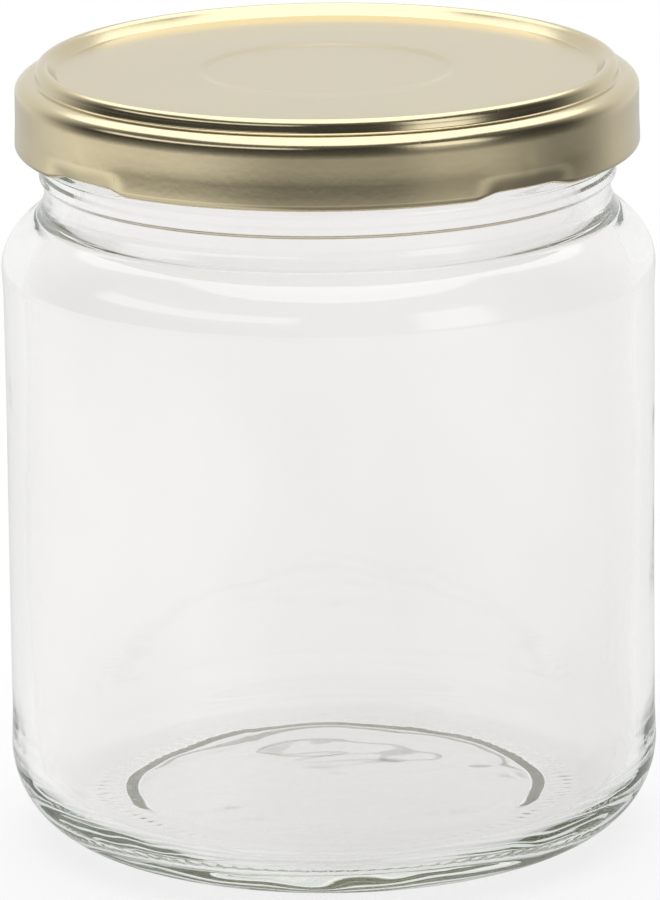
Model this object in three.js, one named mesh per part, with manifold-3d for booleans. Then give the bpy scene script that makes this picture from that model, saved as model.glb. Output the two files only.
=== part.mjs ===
// Empty round glass candle jar with a four-lug twist-off tinplate lid.
// Millimetres, +Z up, origin at the centre of the base, on the surface that the jar stands on.

import * as THREE from 'three';
import { mergeVertices } from 'three/addons/utils/BufferGeometryUtils.js';
import Module from 'manifold-3d';

// ---- Driving dimensions -------------------------------------------------------------------

const SEGMENTS = 48; // facets round every turned surface
const LUGS = 4; // lugs on the lid, and threads on the glass
const LUG_TURN = THREE.MathUtils.degToRad(39); // first lug, from +X towards +Y

// Glass jar
const BODY_RADIUS = 38.0;
const WALL = 2.7; // side wall of the body
const BEARING_INNER_RADIUS = 26.0; // the flat ring that the jar stands on
const BEARING_OUTER_RADIUS = 27.8;
const BEARING_SLOPE = 3.0; // width of the slope from the bearing ring up to the underside
const PUSH_UP = 1.6; // rise of the underside inside the bearing ring
const PUSH_UP_DOME = 1.0; // further rise at its centre
const HEEL_HEIGHT = 10.5;
const FLOOR = 4.6; // top of the floor at its edge
const FLOOR_DOME = 1.3; // how far the floor rises at its centre
const FLOOR_CORNER = 6.0; // radius between floor and wall
const PANEL_RECESS = 0.15; // label panel, set in from shoulder and heel
const PANEL_BOTTOM = 14.5;
const PANEL_TOP = 64.5;
const SHOULDER_START = 67.6; // height where the shoulder starts to close in
const SHOULDER_RISE = 10.5; // upright half axis of the shoulder's curve
const SHOULDER_DEPTH = 20.0; // level half axis of the shoulder's curve
const SHOULDER_WALL = 1.4; // how far the inside of the shoulder starts below the outside
const SHOULDER_INNER_TURN = 45; // degrees of its curve, up to the neck bore
const SHOULDER_FILLET = 2.5; // hollow radius between shoulder and neck
const SHOULDER_FILLET_TURN = 56; // degrees
const NECK_RADIUS = 32.7;
const NECK_BORE_RADIUS = 29.6;
const NECK_BORE_BOTTOM = 75.5;
const LIP_HEIGHT = 89.0;
const LIP_RADIUS = 1.1;

// Thread on the neck
const THREAD_DEPTH = 1.35;
const THREAD_ROOT = 1.0; // how far a thread's root is sunk into the neck wall
const THREAD_HEIGHT = 1.9;
const THREAD_CREST = 0.35; // flat on the crest, as a part of the height
const THREAD_SPAN = THREE.MathUtils.degToRad(58);
const THREAD_RISE = 1.4; // how far one thread climbs along its span
const THREAD_TOP = 86.4; // upper edge of a thread at its high end
const THREAD_TIP = 0.35; // depth left at either end of a thread, as a part of the full depth
const THREAD_RUN_OUT = 0.16; // length of the taper at either end, as a part of the span
const THREAD_STEPS = 8;

// Lid
const LID_RADIUS = 36.2;
const LID_TOP = 91.6; // crest of the stacking bead
const SHEET = 0.3;
const PANEL_DROP = 1.15; // panel, below the crest
const BEAD_CREST_RADIUS = 32.8;
const BEAD_ROUND = 0.9; // radius of the bead's rounded crest
const BEAD_FOOT_RADIUS = 31.3; // where the bead rises from the panel
const LEDGE_INNER_RADIUS = 34.1;
const LEDGE_HEIGHT = 90.0;
const BUTTON_RADIUS = 14.4; // shallow round step in the middle of the panel
const BUTTON_STEP = 0.5; // half the width of its slope
const BUTTON_DROP = 0.2;
const CURL_RADIUS = 0.75; // outside of the rolled edge
const CURL_BOTTOM = 81.6;
const LUG_REACH = 1.6; // how far a lug stands in from the curl
const LUG_SPAN = THREE.MathUtils.degToRad(17);
const LUG_TIP = 0.72; // width of a lug at its tip, as a part of its span
const LUG_THICKNESS = 0.9;

// Sealing ring
const RING_INNER_RADIUS = 28.9;
const RING_OUTER_RADIUS = 32.9;
const RING_CROWN_WIDTH = 0.3;
const GAP = 0.3; // clearance to the lid above and the glass lip below

// ---- Helpers ------------------------------------------------------------------------------

const wasm = await Module();
wasm.setup();

const point = (r, z) => new THREE.Vector2(r, z);

// Points of an elliptical arc, from one angle to another in degrees.
function arc(r, z, radiusR, radiusZ, fromDegrees, toDegrees, steps) {
  const points = [];
  for (let i = 0; i <= steps; i += 1) {
    const angle = THREE.MathUtils.degToRad(fromDegrees + ((toDegrees - fromDegrees) * i) / steps);
    points.push(point(r + radiusR * Math.cos(angle), z + radiusZ * Math.sin(angle)));
  }
  return points;
}

// A closed section turned about Z. It may touch the axis at its first and last points.
function turned(section) {
  const geometry = new THREE.LatheGeometry(section, SEGMENTS, Math.PI / 2);
  geometry.rotateX(Math.PI / 2);
  return geometry;
}

function toSolid(geometry) {
  const bare = geometry.clone();
  bare.deleteAttribute('normal');
  bare.deleteAttribute('uv');
  const welded = mergeVertices(bare, 1e-4);
  const triangles = [];
  for (let i = 0; i < welded.index.count; i += 3) {
    const corner = [0, 1, 2].map((k) => welded.index.getX(i + k));
    if (new Set(corner).size === 3) triangles.push(...corner);
  }
  const mesh = new wasm.Mesh({
    numProp: 3,
    vertProperties: new Float32Array(welded.attributes.position.array),
    triVerts: new Uint32Array(triangles),
  });
  return new wasm.Manifold(mesh);
}

function toGeometry(solid) {
  const mesh = solid.getMesh();
  const geometry = new THREE.BufferGeometry();
  geometry.setAttribute('position', new THREE.BufferAttribute(mesh.vertProperties, 3));
  geometry.setIndex(new THREE.BufferAttribute(mesh.triVerts, 1));
  geometry.computeVertexNormals();
  return geometry;
}

function joined(base, additions) {
  return toGeometry(additions.reduce((solid, geometry) => solid.add(toSolid(geometry)), toSolid(base)));
}

function named(name, geometry, material) {
  const mesh = new THREE.Mesh(geometry, material);
  mesh.name = name;
  return mesh;
}

// ---- Glass jar ----------------------------------------------------------------------------

function jarOutside() {
  const heelDepth = BODY_RADIUS - BEARING_OUTER_RADIUS;
  const turn = THREE.MathUtils.degToRad(SHOULDER_FILLET_TURN);
  const filletWidth = SHOULDER_FILLET * (1 - Math.cos(turn));
  const closing = Math.acos(1 - (BODY_RADIUS - NECK_RADIUS - filletWidth) / SHOULDER_DEPTH);
  const shoulderAxis = BODY_RADIUS - SHOULDER_DEPTH;
  const closed = SHOULDER_START + SHOULDER_RISE * Math.sin(closing);
  const filletAxis = NECK_RADIUS + SHOULDER_FILLET;
  const filletHeight = closed + SHOULDER_FILLET * Math.sin(turn);
  const filletStart = SHOULDER_FILLET_TURN - 180;
  const closingDegrees = THREE.MathUtils.radToDeg(closing);
  return [
    ...arc(BEARING_OUTER_RADIUS, HEEL_HEIGHT, heelDepth, HEEL_HEIGHT, -90, 0, 10),
    point(BODY_RADIUS - PANEL_RECESS, PANEL_BOTTOM),
    point(BODY_RADIUS - PANEL_RECESS, PANEL_TOP),
    ...arc(shoulderAxis, SHOULDER_START, SHOULDER_DEPTH, SHOULDER_RISE, 0, closingDegrees, 8),
    ...arc(filletAxis, filletHeight, SHOULDER_FILLET, SHOULDER_FILLET, filletStart, -180, 3),
    ...arc(NECK_RADIUS - LIP_RADIUS, LIP_HEIGHT - LIP_RADIUS, LIP_RADIUS, LIP_RADIUS, 0, 90, 3),
  ];
}

function jarInside() {
  const bore = BODY_RADIUS - WALL;
  const depth = SHOULDER_DEPTH - WALL;
  const floorAxis = bore - FLOOR_CORNER;
  return [
    ...arc(NECK_BORE_RADIUS + LIP_RADIUS, LIP_HEIGHT - LIP_RADIUS, LIP_RADIUS, LIP_RADIUS, 90, 180, 3),
    point(NECK_BORE_RADIUS, NECK_BORE_BOTTOM),
    ...arc(bore - depth, SHOULDER_START - SHOULDER_WALL, depth, SHOULDER_RISE, SHOULDER_INNER_TURN, 0, 6),
    ...arc(floorAxis, FLOOR + FLOOR_CORNER, FLOOR_CORNER, FLOOR_CORNER, 0, -90, 5),
    point(0, FLOOR + FLOOR_DOME),
  ];
}

function jarSection() {
  return [
    point(0, PUSH_UP + PUSH_UP_DOME),
    point(BEARING_INNER_RADIUS - BEARING_SLOPE, PUSH_UP),
    point(BEARING_INNER_RADIUS, 0),
    ...jarOutside(),
    ...jarInside(),
  ];
}

// One right-hand thread: a rib of glass that climbs along its span and tapers off at both ends.
function thread(startAngle) {
  const root = NECK_RADIUS - THREAD_ROOT;
  const crest = NECK_RADIUS + THREAD_DEPTH;
  const half = THREAD_HEIGHT / 2;
  const flat = half * THREAD_CREST;
  const section = [point(root, -half), point(crest, -flat), point(crest, flat), point(root, half)];
  const corners = section.length;
  const positions = [];
  for (let i = 0; i <= THREAD_STEPS; i += 1) {
    const along = i / THREAD_STEPS;
    const angle = startAngle + THREAD_SPAN * along;
    const height = THREAD_TOP - half - THREAD_RISE * (1 - along);
    const fromEnd = Math.min(along, 1 - along) / THREAD_RUN_OUT;
    const taper = Math.min(1, THREAD_TIP + (1 - THREAD_TIP) * fromEnd);
    for (const corner of section) {
      const radius = root + (corner.x - root) * taper;
      positions.push(radius * Math.cos(angle), radius * Math.sin(angle), height + corner.y);
    }
  }
  const index = [];
  for (let i = 0; i < THREAD_STEPS; i += 1) {
    for (let j = 0; j < corners; j += 1) {
      const a = i * corners + j;
      const b = i * corners + ((j + 1) % corners);
      index.push(a, a + corners, b, b, a + corners, b + corners);
    }
  }
  const last = THREAD_STEPS * corners;
  index.push(0, 1, 2, 0, 2, 3);
  index.push(last, last + 2, last + 1, last, last + 3, last + 2);
  const geometry = new THREE.BufferGeometry();
  geometry.setAttribute('position', new THREE.Float32BufferAttribute(positions, 3));
  geometry.setIndex(index);
  return geometry;
}

function glassJar() {
  const pitch = (2 * Math.PI) / LUGS;
  const gap = pitch - THREAD_SPAN;
  const threads = Array.from({ length: LUGS }, (_, i) => thread(LUG_TURN + i * pitch + gap / 2));
  const glass = new THREE.MeshStandardMaterial({ color: 0xeeecec, roughness: 0.04, metalness: 0 });
  return named('glass_jar', joined(turned(jarSection()), threads), glass);
}

// ---- Lid ----------------------------------------------------------------------------------

// The pressed outline of the lid, from the axis out to the start of the curl.
// The inset moves it into the sheet.
function lidOutline(inset) {
  const panel = LID_TOP - PANEL_DROP - inset;
  const beadRound = BEAD_ROUND - inset;
  const kneeRadius = LID_RADIUS - LEDGE_INNER_RADIUS;
  const riser = BEAD_CREST_RADIUS + beadRound;
  return [
    point(0, panel - BUTTON_DROP),
    point(BUTTON_RADIUS - BUTTON_STEP, panel - BUTTON_DROP),
    point(BUTTON_RADIUS + BUTTON_STEP, panel),
    point(BEAD_FOOT_RADIUS + inset / 2, panel),
    ...arc(BEAD_CREST_RADIUS, LID_TOP - BEAD_ROUND, beadRound, beadRound, 150, 0, 5),
    point(riser, LEDGE_HEIGHT + (LEDGE_INNER_RADIUS - riser) / 2),
    ...arc(LEDGE_INNER_RADIUS, LEDGE_HEIGHT - kneeRadius, kneeRadius - inset, kneeRadius - inset, 90, 0, 6),
  ];
}

// The open roll at the foot of the skirt: round the outside, then back along the inside.
function curlSection() {
  const r = LID_RADIUS - CURL_RADIUS;
  const z = CURL_BOTTOM + CURL_RADIUS;
  const inner = CURL_RADIUS - SHEET;
  return [
    ...arc(r, z, CURL_RADIUS, CURL_RADIUS, 0, -250, 11),
    ...arc(r, z, inner, inner, -250, -20, 9),
  ];
}

function lidSection() {
  const outside = lidOutline(0).reverse();
  const inside = lidOutline(SHEET);
  return [...inside, ...curlSection().reverse(), ...outside];
}

// A lug: the stretch of the curl that is pressed in so that it reaches under the thread.
function lug(angle) {
  const outer = LID_RADIUS - CURL_RADIUS;
  const inner = LID_RADIUS - 2 * CURL_RADIUS - LUG_REACH;
  const half = LUG_SPAN / 2;
  const tip = half * LUG_TIP;
  const shape = new THREE.Shape();
  shape.absarc(0, 0, outer, angle - half, angle + half, false);
  shape.absarc(0, 0, inner, angle + tip, angle - tip, true);
  const options = { depth: LUG_THICKNESS, bevelEnabled: false, curveSegments: 6 };
  const geometry = new THREE.ExtrudeGeometry(shape, options);
  geometry.translate(0, 0, CURL_BOTTOM + CURL_RADIUS - LUG_THICKNESS / 2);
  return geometry;
}

function lidShell() {
  const lugs = Array.from({ length: LUGS }, (_, i) => lug(LUG_TURN + (i * 2 * Math.PI) / LUGS));
  const lacquer = new THREE.MeshStandardMaterial({ color: 0xc3b48c, roughness: 0.3, metalness: 0.9 });
  return named('lid_shell', joined(turned(lidSection()), lugs), lacquer);
}

// ---- Sealing ring -------------------------------------------------------------------------

// The ring lies in the channel under the bead, with a crown that reaches up into the bead.
function sealingRing() {
  const bottom = LIP_HEIGHT + GAP;
  const top = LID_TOP - PANEL_DROP - SHEET - GAP;
  const crown = LID_TOP - SHEET - GAP;
  const section = [
    point(RING_INNER_RADIUS, bottom),
    point(RING_OUTER_RADIUS, bottom),
    point(RING_OUTER_RADIUS, crown),
    point(RING_OUTER_RADIUS - RING_CROWN_WIDTH, crown),
    point(BEAD_FOOT_RADIUS, top),
    point(RING_INNER_RADIUS, top),
    point(RING_INNER_RADIUS, bottom),
  ];
  const compound = new THREE.MeshStandardMaterial({ color: 0xd9d4c8, roughness: 0.6, metalness: 0 });
  return named('sealing_ring', toGeometry(toSolid(turned(section))), compound);
}

// ---- Assembly -----------------------------------------------------------------------------

const candleJar = new THREE.Group();
candleJar.add(glassJar(), lidShell(), sealingRing());

export default candleJar;
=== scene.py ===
import math

import bpy
import numpy as np
from mathutils import Matrix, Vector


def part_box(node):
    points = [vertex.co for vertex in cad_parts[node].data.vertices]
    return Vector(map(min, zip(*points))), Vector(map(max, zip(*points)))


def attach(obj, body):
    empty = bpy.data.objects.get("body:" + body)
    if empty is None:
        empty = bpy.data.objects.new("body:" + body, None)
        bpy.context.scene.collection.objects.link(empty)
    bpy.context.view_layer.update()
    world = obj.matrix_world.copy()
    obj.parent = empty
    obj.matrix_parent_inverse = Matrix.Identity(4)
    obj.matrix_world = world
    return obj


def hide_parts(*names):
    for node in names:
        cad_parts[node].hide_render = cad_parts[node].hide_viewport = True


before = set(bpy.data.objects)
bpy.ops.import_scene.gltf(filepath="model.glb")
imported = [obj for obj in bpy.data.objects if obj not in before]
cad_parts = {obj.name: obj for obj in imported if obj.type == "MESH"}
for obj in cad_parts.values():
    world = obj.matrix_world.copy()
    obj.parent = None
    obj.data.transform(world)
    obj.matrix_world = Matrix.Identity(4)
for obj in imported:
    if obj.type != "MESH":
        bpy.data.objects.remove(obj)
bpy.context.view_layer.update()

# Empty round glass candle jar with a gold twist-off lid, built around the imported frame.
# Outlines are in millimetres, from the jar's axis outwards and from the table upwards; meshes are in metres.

MM = 0.001
AROUND = 384  # mesh steps round the axis


def node_size(node):
    """Radius, lowest and highest point of a round node, in millimetres."""
    low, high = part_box(node)
    return high.x / MM, low.z / MM, high.z / MM


# ---- Jar sizes --------------------------------------------------------------------------------

BODY_RADIUS, _, LIP_HEIGHT = node_size("glass_jar")
WALL = 2.7

PUSH_UP = [(0.6, 2.6), (23.2, 1.75, 1.2), (24.9, 0.3, 0.8)]  # hollow under the base: r, z and rounding
BEARING_START = 26.0
BEARING_RADIUS = 27.0  # middle of the ring that the jar stands on
HEEL_INSET = 0.8  # from there to the axis of the heel's curve
HEEL_HEIGHT = 10.5
FLOOR = 4.6
FLOOR_CORNER = 6.0
FLOOR_CORNER_END = -84  # degrees
FLOOR_CROWN = [(28.6, 4.7), (14.0, 5.6), (0.6, 5.9)]  # top of the base, rising to the middle

PANEL_RECESS = 0.15
PANEL_BOTTOM = 14.5
PANEL_TOP = 64.5
SHOULDER_START = 67.6
SHOULDER_RISE = 10.5
SHOULDER_DEPTH = 20.0
SHOULDER_END = 38  # degrees of the shoulder's curve
SHOULDER_DROP = 1.4  # how much lower the inside of the shoulder starts
SHOULDER_BORE_END = 45  # degrees

NECK_RADIUS = 32.7
NECK_START = 81.4
NECK_WAIST_RADIUS = 32.85
NECK_WAIST = (75.9, 77.9)
NECK_BEAD_RADIUS = 33.45
NECK_BEAD = (78.3, 80.6)
NECK_BORE_RADIUS = 29.6
NECK_BORE_START = 76.0
LIP_ROUNDING = 1.1
LIP_BORE_ROUNDING = 1.0
LIP_FLAT = 1.6

LUGS = 4
LUG_TURN = math.radians(39)
LUG_PITCH = math.tau / LUGS
THREAD_SPAN = math.radians(58)
THREAD_RISE = 1.4
THREAD_TOP = 86.4
THREAD_HEIGHT = 1.9
THREAD_DEPTH = 1.35
THREAD_FLATNESS = 0.6  # 0.5 is an elliptical section, 1 a pointed one
THREAD_FADE = 0.06
THREADS_ABOVE = 82

SEAM_TURN = math.radians(-104.5)  # one of the two mould seams, from +X towards +Y
SEAM_WIDTH = 0.22
SEAM_HEIGHT = 0.07
SEEDS = [(math.radians(-75.8), 25.8), (math.radians(-33), 27.0), (math.radians(70), 40.0)]  # turn and height
SEED_SIZE = 0.5
SEED_HEIGHT = 0.16
RIBS = 96  # small ribs on the bearing ring
RIB_HEIGHT = 0.12
RIBS_FROM, RIBS_TO = 25.9, 28.4

# Unevenness: the height of the waves, their random seed and their pitch.
SKIN_WAVES = [(0.02, 11, 40)]
BORE_WAVES = [(0.06, 5, 45), (0.012, 6, 17)]
FLOOR_WAVES = [(0.07, 21, 17), (0.02, 22, 6)]
SKIRT_WAVES = [(0.015, 31, 40)]
PANEL_WAVES = [(0.012, 32, 30)]


# ---- Lid and ring sizes -----------------------------------------------------------------------

LID_RADIUS, CURL_BOTTOM, LID_TOP = node_size("lid_shell")
SHEET = 0.25
PANEL = LID_TOP - 1.15
BUTTON = (13.8, 14.9)  # where the step at the middle of the panel starts and ends
BUTTON_DROP = 0.2
BUTTON_ROUNDING = 1.2
BEAD_CREST = 32.8
BEAD_ROUNDING = 0.9
BEAD_FOOT = 31.2
VALLEY = [(33.71, 90.2, 0.9, 0.5), (33.80, 90.03, 0.5, 0.8)]  # r, z and the sheet's way in and down
LEDGE_HEIGHT = 90.0
KNEE_WIDTH = 2.1
KNEE_DROP = 1.5  # from the ledge down to where the skirt starts
SKIRT_INSET = 0.10
SKIRT = [(85.6, SKIRT_INSET), (84.5, 0.075)]  # height, and how far in from the curl
SKIRT_END = (83.3, 0.015)
CURL_RADIUS = 0.75
CURL_TOP = 83.2

LUG_FLAT = 3.6  # from the middle of a lug to where it starts to fade
LUG_END = 7.6
LUG_LOW, LUG_HIGH = 82.3, 83.6
LUG_PUSH = 0.5  # how far the curl is pressed in at a lug
LUG_REACH = 1.75  # and how far its inner edge reaches in there
LUG_SQUASH = 0.34
DENT_DEPTH = 0.02
DENT_HALF = 8.0
DIMPLE_DEPTH = 0.07
DIMPLE_HEIGHT = 84.9
DIMPLE_SPREAD = 0.45

RING_RADIUS, RING_BOTTOM, RING_TOP = node_size("sealing_ring")
RING_BORE = 28.9
RING_CROWN = (31.2, PANEL - 0.6)


# ---- Outlines ---------------------------------------------------------------------------------

def arc(r, z, radius_r, radius_z, start, end, steps):
    """Points of an elliptical arc between two angles in degrees."""
    angles = np.radians(np.linspace(start, end, steps + 1))
    return [(r + radius_r * math.cos(a), z + radius_z * math.sin(a)) for a in angles]


def rounded(corners, turn=14):
    """An outline through corners (r, z) or (r, z, rounding), with an arc in place of each rounding."""
    points = []
    for index, corner in enumerate(corners):
        here = np.array(corner[:2], float)
        if len(corner) == 2:
            points.append(tuple(here))
            continue
        before = np.array(corners[index - 1][:2], float) - here
        after = np.array(corners[index + 1][:2], float) - here
        before /= np.linalg.norm(before)
        after /= np.linalg.norm(after)
        half = math.acos(np.clip(before @ after, -1, 1)) / 2
        middle = before + after
        centre = here + middle / np.linalg.norm(middle) * corner[2] / math.sin(half)
        first = here + before * corner[2] / math.tan(half) - centre
        last = here + after * corner[2] / math.tan(half) - centre
        start = math.atan2(first[1], first[0])
        sweep = (math.atan2(last[1], last[0]) - start + math.pi) % math.tau - math.pi
        steps = max(2, round(abs(math.degrees(sweep)) / turn))
        for step in range(steps + 1):
            angle = start + sweep * step / steps
            points.append(tuple(centre + corner[2] * np.array([math.cos(angle), math.sin(angle)])))
    return points


def filled(points, longest):
    """The same outline with more points, so that none are further apart than longest."""
    full = [points[0]]
    for here, there in zip(points, points[1:]):
        steps = max(1, math.ceil(math.dist(here, there) / longest))
        for step in range(1, steps + 1):
            full.append(tuple(np.add(here, np.subtract(there, here) * step / steps)))
    return full


# ---- Surface relief ---------------------------------------------------------------------------

def smooth(low, high, value):
    """0 below low, 1 above high and a soft step between."""
    t = np.clip((value - low) / (high - low), 0, 1)
    return t * t * (3 - 2 * t)


def between(low, high, soft, value):
    """1 from low to high and 0 elsewhere, with soft ends."""
    return smooth(low - soft, low + soft, value) * (1 - smooth(high - soft, high + soft, value))


def away_from(angle, centre):
    """Signed angle from centre, in the range of half a turn each way."""
    return (angle - centre + math.pi) % math.tau - math.pi


def ripple(r, angle, z, seed, pitch, waves=12):
    """Gentle uneven waves of about height 1 that cross one another in all directions."""
    draw = np.random.default_rng(seed)
    x, y = r * np.cos(angle), r * np.sin(angle)
    total = 0
    for _ in range(waves):
        way = draw.normal(size=3)
        way *= math.tau / pitch * draw.uniform(0.6, 1.2) / np.linalg.norm(way)
        total = total + np.sin(way[0] * x + way[1] * y + way[2] * z + draw.uniform(0, math.tau))
    return total / math.sqrt(waves / 2)


def uneven(kinds, r, angle, z):
    """The sum of several ripples, each given by its height, seed and pitch."""
    return sum(height * ripple(r, angle, z, seed, pitch) for height, seed, pitch in kinds)


# ---- Meshes -----------------------------------------------------------------------------------

def turned(name, outline, relief=None, closed=False):
    """A mesh turned about the axis. relief(r, z, angle, place) gives the radius and height of every point,
    where place is the point's number along the outline. A closed outline makes a ring."""
    count = len(outline)
    place, angle = np.meshgrid(np.arange(count), np.arange(AROUND) * math.tau / AROUND, indexing="ij")
    r = np.array([point[0] for point in outline])[place]
    z = np.array([point[1] for point in outline])[place]
    if relief:
        r, z = relief(r, z, angle, place)
    points = np.stack([r * np.cos(angle), r * np.sin(angle), z], axis=-1).reshape(-1, 3) * MM
    corner = np.arange(count * AROUND).reshape(count, AROUND)
    quads = []
    for low in range(count if closed else count - 1):
        here, there = corner[low], corner[(low + 1) % count]
        quads.append(np.stack([here, np.roll(here, -1), np.roll(there, -1), there], axis=-1))
    faces = np.concatenate(quads).tolist()
    vertices = points.tolist()
    if not closed:
        for row, flip in ((0, True), (count - 1, False)):
            middle = len(vertices)
            vertices.append(points[corner[row]].mean(axis=0).tolist())
            ring = corner[row].tolist()
            for here, there in zip(ring, ring[1:] + ring[:1]):
                faces.append((there, here, middle) if flip else (here, there, middle))
    mesh = bpy.data.meshes.new(name)
    mesh.from_pydata(vertices, [], faces)
    mesh.validate()
    mesh.shade_smooth()
    piece = bpy.data.objects.new(name, mesh)
    bpy.context.scene.collection.objects.link(piece)
    return piece


# ---- Glass jar --------------------------------------------------------------------------------

def jar_outside():
    """From the middle of the underside, over the heel, body, shoulder and neck, to the lip."""
    heel_axis = BEARING_RADIUS + HEEL_INSET
    shoulder_axis = BODY_RADIUS - SHOULDER_DEPTH
    panel_radius = BODY_RADIUS - PANEL_RECESS
    underside = rounded([*PUSH_UP, (BEARING_START, 0.0), (BEARING_RADIUS, 0.0)])
    heel = arc(heel_axis, HEEL_HEIGHT, BODY_RADIUS - heel_axis, HEEL_HEIGHT, -90, 0, 22)
    panel = [(panel_radius, PANEL_BOTTOM), (panel_radius, PANEL_TOP)]
    shoulder = arc(shoulder_axis, SHOULDER_START, SHOULDER_DEPTH, SHOULDER_RISE, 0, SHOULDER_END, 16)
    neck = rounded([
        shoulder[-2],
        (*shoulder[-1], 1.8),
        (NECK_WAIST_RADIUS, NECK_WAIST[0], 1.2),
        (NECK_WAIST_RADIUS, NECK_WAIST[1], 0.3),
        (NECK_BEAD_RADIUS, NECK_BEAD[0], 0.35),
        (NECK_BEAD_RADIUS, NECK_BEAD[1], 0.7),
        (NECK_RADIUS, NECK_START, 0.6),
        (NECK_RADIUS, LIP_HEIGHT, LIP_ROUNDING),
        (NECK_RADIUS - LIP_FLAT, LIP_HEIGHT),
    ])
    lower = filled(underside, 1.4) + filled(heel + panel, 1.6)
    return lower + shoulder[:-1] + filled(neck[1:], 0.33)


def jar_inside():
    """From the lip, down the bore and the inner wall, to the middle of the floor."""
    bore = BODY_RADIUS - WALL
    depth = SHOULDER_DEPTH - WALL
    start = SHOULDER_START - SHOULDER_DROP
    rounding = LIP_BORE_ROUNDING
    lip = arc(NECK_BORE_RADIUS + rounding, LIP_HEIGHT - rounding, rounding, rounding, 90, 180, 5)
    neck = lip + [(NECK_BORE_RADIUS, NECK_BORE_START)]
    shoulder = arc(bore - depth, start, depth, SHOULDER_RISE, SHOULDER_BORE_END, 0, 12)
    corner = arc(bore - FLOOR_CORNER, FLOOR + FLOOR_CORNER, FLOOR_CORNER, FLOOR_CORNER,
                 0, FLOOR_CORNER_END, 10)
    return filled(neck, 1.6) + filled(shoulder + corner, 1.7) + filled(FLOOR_CROWN, 0.9)


def thread_relief(angle, z):
    """How far the threads stand out from the neck."""
    stand = 0
    fade = (LUG_PITCH - THREAD_SPAN) * THREAD_FADE
    for index in range(LUGS):
        centre = LUG_TURN + index * LUG_PITCH + LUG_PITCH / 2
        along = away_from(angle, centre) / THREAD_SPAN + 0.5
        middle = THREAD_TOP - THREAD_HEIGHT / 2 - THREAD_RISE * (1 - np.clip(along, 0, 1))
        across = np.clip(1 - ((z - middle) / (THREAD_HEIGHT / 2)) ** 2, 0, 1)
        stand = stand + THREAD_DEPTH * between(0.0, 1.0, fade, along) * across ** THREAD_FLATNESS
    return stand


def seam_relief(r, angle, z):
    """The two mould seams, on opposite sides of the jar."""
    across = away_from(2 * angle, 2 * SEAM_TURN) * r / 2
    return SEAM_HEIGHT * np.exp(-(across / SEAM_WIDTH) ** 2) * smooth(12, 16, z) * (1 - smooth(80, 81, z))


def seed_relief(r, angle, z):
    """Small bumps over bubbles in the glass."""
    stand = 0
    for turn, up in SEEDS:
        squared = (away_from(angle, turn) * r) ** 2 + (z - up) ** 2
        stand = stand + SEED_HEIGHT * np.exp(-squared / SEED_SIZE ** 2)
    return stand


def jar_relief(outside_count):
    """Threads, bearing ribs, mould seams and the slight unevenness of pressed and blown glass."""
    def relief(r, z, angle, place):
        outside = place < outside_count
        inside = ~outside
        on_wall = smooth(5, 12, z) * (1 - smooth(76, 78, z))
        threads = thread_relief(angle, z) * (r > NECK_RADIUS - 0.05) * (z > THREADS_ABOVE)
        skin = uneven(SKIN_WAVES, r, angle, z) * on_wall
        bore = uneven(BORE_WAVES, r, angle, z) * on_wall
        stand = threads + seam_relief(r, angle, z) + seed_relief(r, angle, z) + skin
        r = r + outside * stand + inside * bore
        ribs = RIB_HEIGHT * (0.5 + 0.5 * np.cos(RIBS * angle))
        z = z + outside * ribs * between(RIBS_FROM, RIBS_TO, 0.5, r) * (z < 1.2)
        on_floor = inside * (z < 9) * (1 - smooth(27, 33, r))
        z = z + on_floor * uneven(FLOOR_WAVES, r, angle, 0)
        return r, z
    return relief


# ---- Lid --------------------------------------------------------------------------------------

def lid_outline(inset):
    """The pressed sheet from the axis to the curl; inset moves it into the sheet."""
    panel = PANEL - inset
    bead_round = BEAD_ROUNDING - inset
    knee_axis = LID_RADIUS - SKIRT_INSET - KNEE_WIDTH
    middle = rounded([
        (0.5, panel - BUTTON_DROP),
        (BUTTON[0], panel - BUTTON_DROP, BUTTON_ROUNDING),
        (BUTTON[1], panel, BUTTON_ROUNDING),
        (27.0, panel, 2.0),
        (BEAD_FOOT + inset / 2, panel - 0.05, 0.35),
        (32.0, panel + 0.75),
    ])
    bead = arc(BEAD_CREST, LID_TOP - BEAD_ROUNDING, bead_round, bead_round, 142, 2, 12)
    valley = [(r - inset * way_in, z - inset * down) for r, z, way_in, down in VALLEY]
    knee = arc(knee_axis, LEDGE_HEIGHT - KNEE_DROP, KNEE_WIDTH - inset, KNEE_DROP - inset, 90, 4, 12)
    skirt = [(LID_RADIUS - way_in - inset, z) for z, way_in in SKIRT]
    return middle[:-1] + bead + valley + knee + skirt


def lid_section():
    """Both sides of the sheet, joined by the open rolled curl at the bottom."""
    centre_r = LID_RADIUS - CURL_RADIUS
    centre_z = CURL_BOTTOM + CURL_RADIUS
    inner = CURL_RADIUS - SHEET
    roll_out = arc(centre_r, centre_z, CURL_RADIUS, CURL_RADIUS, 8, -265, 20)
    roll_in = arc(centre_r, centre_z, inner, inner, -255, -20, 14)
    outside = filled(lid_outline(0), 1.5) + [(LID_RADIUS - SKIRT_END[1], SKIRT_END[0])]
    inside = filled(lid_outline(SHEET), 1.8)
    return outside + roll_out + roll_in + inside[::-1]


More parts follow.
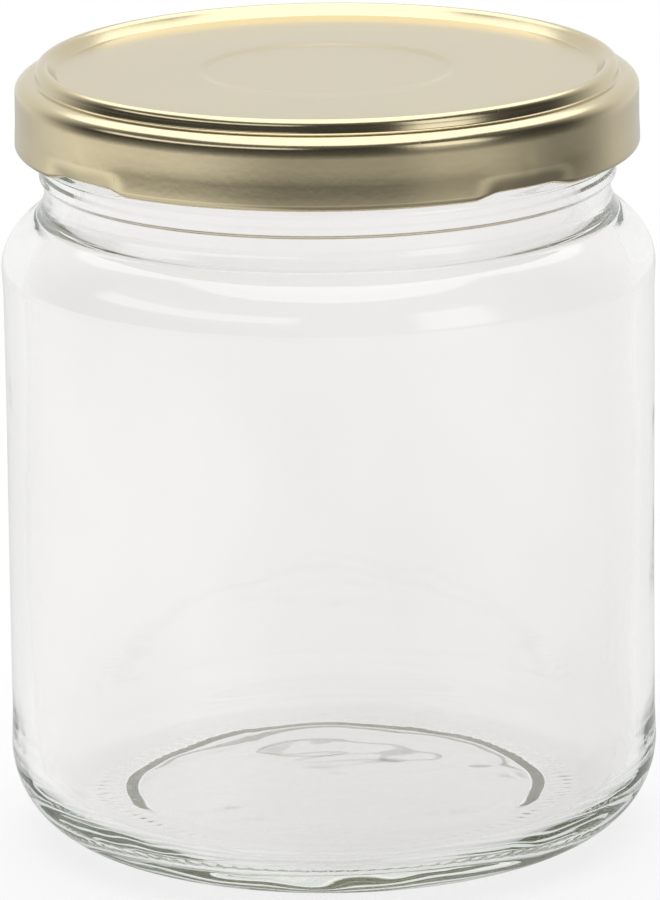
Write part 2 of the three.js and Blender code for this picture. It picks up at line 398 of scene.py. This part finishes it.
def lid_relief(r, z, angle, place):
    """The curl pressed in at the lugs, and the shallow dent that this leaves in the skirt above."""
    offset = away_from(LUGS * angle, LUGS * LUG_TURN) / LUGS * LID_RADIUS
    lug = 1 - smooth(LUG_FLAT, LUG_END, np.abs(offset))
    low = 1 - smooth(LUG_LOW, LUG_HIGH, z)
    outward = np.clip((r - (LID_RADIUS - 2 * CURL_RADIUS)) / (2 * CURL_RADIUS), 0, 1)
    push = LUG_REACH + (LUG_PUSH - LUG_REACH) * outward
    dent = DENT_DEPTH * (1 - smooth(1.0, DENT_HALF, np.abs(offset))) * between(83.2, 85.6, 1.4, z)
    dimple = DIMPLE_DEPTH * np.exp(-(offset ** 2 + (z - DIMPLE_HEIGHT) ** 2) / DIMPLE_SPREAD)
    skirt = r > LID_RADIUS - 3
    crown = CURL_BOTTOM + 2 * CURL_RADIUS
    squashed = crown + (z - crown) * (1 - LUG_SQUASH * lug)
    z = np.where(skirt & (z < CURL_TOP), squashed, z)
    r = r - skirt * (lug * low * push + dent + dimple)
    r = r + skirt * uneven(SKIRT_WAVES, r, angle, z)
    z = z + (r < 31) * uneven(PANEL_WAVES, r, angle, 0)
    return r, z


# ---- Sealing ring -----------------------------------------------------------------------------

def ring_section():
    """Flowed-in compound: flat underneath, crowned where it fills the bead."""
    return rounded([
        (RING_BORE + 1.6, RING_BOTTOM),
        (RING_RADIUS, RING_BOTTOM, 0.25),
        (RING_RADIUS, RING_TOP, 0.14),
        (RING_RADIUS - 0.5, RING_TOP, 0.2),
        (*RING_CROWN, 0.5),
        (RING_BORE, RING_CROWN[1], 0.22),
        (RING_BORE + 0.02, RING_BOTTOM + 0.1),
        (RING_BORE + 0.4, RING_BOTTOM),
    ])


# ---- Shader arithmetic ------------------------------------------------------------------------

class Signal:
    """One output socket. Arithmetic on it adds the Math nodes that work it out."""

    def __init__(self, finish, socket):
        self.finish = finish
        self.socket = socket

    def __add__(self, other):
        return self.finish.maths("ADD", self, other)

    def __sub__(self, other):
        return self.finish.maths("SUBTRACT", self, other)

    def __rsub__(self, other):
        return self.finish.maths("SUBTRACT", other, self)

    def __mul__(self, other):
        return self.finish.maths("MULTIPLY", self, other)

    __radd__ = __add__
    __rmul__ = __mul__

    def step(self, low, high):
        """0 below low, 1 above high and a soft step between."""
        settings = {"interpolation_type": "SMOOTHSTEP"}
        inputs = {"Value": self, "From Min": low, "From Max": high}
        return self.finish.node("ShaderNodeMapRange", settings, inputs)

    def inside(self, low, high, soft):
        """1 from low to high and 0 elsewhere, with soft ends."""
        return self.step(low - soft, low + soft) * (1 - self.step(high - soft, high + soft))


class Finish:
    """A node tree that is filled in by code."""

    def __init__(self, tree):
        self.tree = tree
        tree.nodes.clear()

    def node(self, kind, settings=None, inputs=None, output=0):
        """Adds a node: its settings are set first, then the values or links of its sockets."""
        made = self.tree.nodes.new(kind)
        for name, value in (settings or {}).items():
            setattr(made, name, value)
        for name, value in (inputs or {}).items():
            if isinstance(value, Signal):
                self.tree.links.new(value.socket, made.inputs[name])
            else:
                made.inputs[name].default_value = value
        return Signal(self, made.outputs[output]) if made.outputs else made

    def maths(self, operation, *values):
        return self.node("ShaderNodeMath", {"operation": operation}, dict(enumerate(values)))

    def noise(self, vector, scale, detail=2.0, roughness=0.5):
        inputs = {"Vector": vector, "Scale": scale, "Detail": detail, "Roughness": roughness}
        return self.node("ShaderNodeTexNoise", None, inputs)

    def stretched(self, vector, scale):
        return self.node("ShaderNodeMapping", None, {"Vector": vector, "Scale": scale})

    def blend(self, factor, first, second):
        """A colour between two colours."""
        inputs = {"Factor": factor, 6: (*first, 1), 7: (*second, 1)}
        return self.node("ShaderNodeMix", {"data_type": "RGBA"}, inputs, output=2)

    def place(self, output="Object"):
        return self.node("ShaderNodeTexCoord", output=output)

    def split(self, vector):
        """The three parts of a vector."""
        parts = self.node("ShaderNodeSeparateXYZ", None, {"Vector": vector}).socket.node.outputs
        return [Signal(self, part) for part in parts]

    def bump(self, height, strength, distance):
        inputs = {"Height": height, "Strength": strength, "Distance": distance}
        return self.node("ShaderNodeBump", None, inputs)

    def surface(self, inputs, volume=None):
        """Ends the tree in a Principled surface, with a volume if there is one."""
        ends = {"Surface": self.node("ShaderNodeBsdfPrincipled", None, inputs)}
        if volume:
            ends["Volume"] = volume
        self.node("ShaderNodeOutputMaterial", None, ends)


def material(name):
    made = bpy.data.materials.new(name)
    made.use_nodes = True
    return made, Finish(made.node_tree)


# ---- Finishes ---------------------------------------------------------------------------------

GLASS_TONES = (0.955, 0.947, 0.942), (0.928, 0.920, 0.915)
GLASS_DEPTH = (0.70, 0.76, 0.69, 1)  # colour of a long way through the glass
GOLD_TONES = (0.585, 0.505, 0.325), (0.64, 0.56, 0.365)
COMPOUND_TONES = (0.66, 0.62, 0.55), (0.74, 0.71, 0.65)


def clear_glass():
    """Clean glass with faint cords, a thin uneven film and a slight green in the thick places."""
    made, finish = material("clear_glass")
    place = finish.place()
    smudge = finish.noise(place, 45, 4, 0.6).step(0.58, 0.78)
    film = finish.noise(place, 420, 3, 0.55)
    cords = finish.noise(place, 60, 2, 0.45)
    haze = finish.noise(place, 28, 2, 0.5).step(0.35, 0.65)
    body = finish.node("ShaderNodeVolumeAbsorption", None, {"Color": GLASS_DEPTH, "Density": 10.0})
    finish.surface({
        "Base Color": finish.blend(haze, *GLASS_TONES),
        "Roughness": smudge * film * 0.05,
        "IOR": 1.52,
        "Transmission Weight": 1.0,
        "Normal": finish.bump(cords, 0.10, 0.0012),
    }, body)
    return made


def gold_lacquer():
    """Pale gold lacquer over tinplate: rolling direction, orange peel and fine scuffs."""
    made, finish = material("gold_lacquered_tinplate")
    place = finish.place()
    cloud = finish.noise(place, 60, 3, 0.5)
    rolling = finish.noise(finish.stretched(place, (30, 900, 900)), 1.0, 3, 0.55)
    scuff = finish.noise(place, 700, 4, 0.6).step(0.66, 0.74) * finish.noise(place, 70, 2).step(0.45, 0.7)
    peel = finish.noise(place, 1100, 2, 0.5) + rolling * 0.5
    finish.surface({
        "Base Color": finish.blend(cloud * 0.6 + rolling * 0.4, *GOLD_TONES),
        "Metallic": 1.0,
        "Roughness": 0.15 + cloud * 0.08 + scuff * 0.12,
        "IOR": 1.5,
        "Normal": finish.bump(peel, 0.05, 0.0001),
    })
    return made


def ring_compound():
    """Matt off-white sealing compound."""
    made, finish = material("sealing_compound")
    place = finish.place()
    cloud = finish.noise(place, 300, 4, 0.6)
    grain = finish.noise(place, 2600, 3, 0.6)
    finish.surface({
        "Base Color": finish.blend(cloud, *COMPOUND_TONES),
        "Roughness": 0.5 + cloud * 0.2,
        "IOR": 1.5,
        "Normal": finish.bump(grain, 0.25, 0.0001),
    })
    return made


def pale_floor():
    """A plain table that is lit from within, so that the jar leaves only a faint shadow."""
    made, finish = material("pale_floor")
    finish.surface({
        "Base Color": (0.18, 0.18, 0.18, 1),
        "Roughness": 1.0,
        "Specular IOR Level": 0.0,
        "Emission Color": (1, 1, 1, 1),
        "Emission Strength": 0.80,
    })
    return made


# ---- Studio -----------------------------------------------------------------------------------

def studio_light():
    """A light tent: soft bright panels and dark gaps, each given by where it stands round the jar.
    Turn is 0 in front of the jar and grows to the right; height is the angle above the table, in degrees."""
    world = bpy.data.worlds.new("studio")
    world.use_nodes = True
    bpy.context.scene.world = world
    finish = Finish(world.node_tree)
    x, y, z = finish.split(finish.place("Generated"))
    turn = finish.maths("ARCTAN2", x, y * -1) * math.degrees(1)
    height = finish.maths("ARCSINE", z) * math.degrees(1)
    left = turn * -1

    front = 1 - finish.maths("ABSOLUTE", turn).step(95, 140)
    below = 1 - height.step(-12, -8)
    above = (height - (34 + front * 26)).step(-2, 2)

    tent = 0.92
    overhead = 2.1
    horizon = 0.06 + height.step(32, 40) * 0.10
    left_strip = left.inside(12, 95, 6) * height.inside(20, 33, 2)
    right_strip = turn.inside(32, 60, 6) * height.inside(-3, 33, 3)
    sides = front * (horizon + (left_strip + right_strip) * 1.5) + (1 - front) * tent

    table = 0.62 + turn.inside(34, 68, 10) * 0.20 - turn.inside(82, 122, 12) * 0.24
    table = table * (0.50 + height.step(-32, -14) * 0.50)
    table = table + left.inside(34, 125, 22) * 0.58 + (1 - front) * 0.08

    light = sides + (table - sides) * below
    light = light + above * (overhead - light)
    seen = finish.node("ShaderNodeLightPath", output="Is Camera Ray")
    through = finish.node("ShaderNodeLightPath", output="Is Transmission Ray")
    light = light + (1 - light) * (seen + through * 0.78)
    background = finish.node("ShaderNodeBackground", None, {"Color": (1, 1, 1, 1), "Strength": light})
    finish.node("ShaderNodeOutputWorld", None, {"Surface": background})


def studio_floor():
    """A wide flat table just under the jar."""
    half = 4.0
    gap = 0.0002
    corners = [(-half, -half, 0), (half, -half, 0), (half, half, 0), (-half, half, 0)]
    mesh = bpy.data.meshes.new("studio_floor")
    mesh.from_pydata(corners, [], [(0, 1, 2, 3)])
    floor = bpy.data.objects.new("studio_floor", mesh)
    floor.location.z = -gap
    floor.data.materials.append(pale_floor())
    floor.visible_glossy = False
    bpy.context.scene.collection.objects.link(floor)


def studio_camera():
    """In front of the jar, a little above the lid, with a long lens."""
    away, up, aside = 0.8688, 0.2725, -0.0001
    down, roll = 14.68, -0.67
    lens = bpy.data.cameras.new("camera")
    lens.lens = 307.0
    lens.sensor_width = 36.0
    camera = bpy.data.objects.new("camera", lens)
    tilt = Matrix.Rotation(math.radians(90 - down), 4, "X")
    turn = tilt @ Matrix.Rotation(math.radians(roll), 4, "Z")
    camera.matrix_world = Matrix.Translation((aside, -away, up)) @ turn
    bpy.context.scene.collection.objects.link(camera)
    bpy.context.scene.camera = camera


# ---- Making -----------------------------------------------------------------------------------

def fit(piece, finish, body, node):
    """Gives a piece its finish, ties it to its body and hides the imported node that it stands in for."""
    piece.data.materials.append(finish)
    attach(piece, body)
    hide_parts(node)


def make():
    outside = jar_outside()
    jar = turned("clear_jar", outside + jar_inside(), jar_relief(len(outside)))
    fit(jar, clear_glass(), "jar", "glass_jar")
    lid = turned("gold_lid", lid_section(), lid_relief)
    fit(lid, gold_lacquer(), "lid", "lid_shell")
    ring = turned("seal_ring", ring_section(), closed=True)
    fit(ring, ring_compound(), "seal", "sealing_ring")


studio_camera()
studio_light()
studio_floor()
make()

BOUNCES = 80  # light runs a long way round inside the thick glass of the heel
scene = bpy.context.scene
scene.view_settings.view_transform = "Standard"
scene.cycles.max_bounces = BOUNCES
scene.cycles.transmission_bounces = BOUNCES
scene.cycles.glossy_bounces = BOUNCES
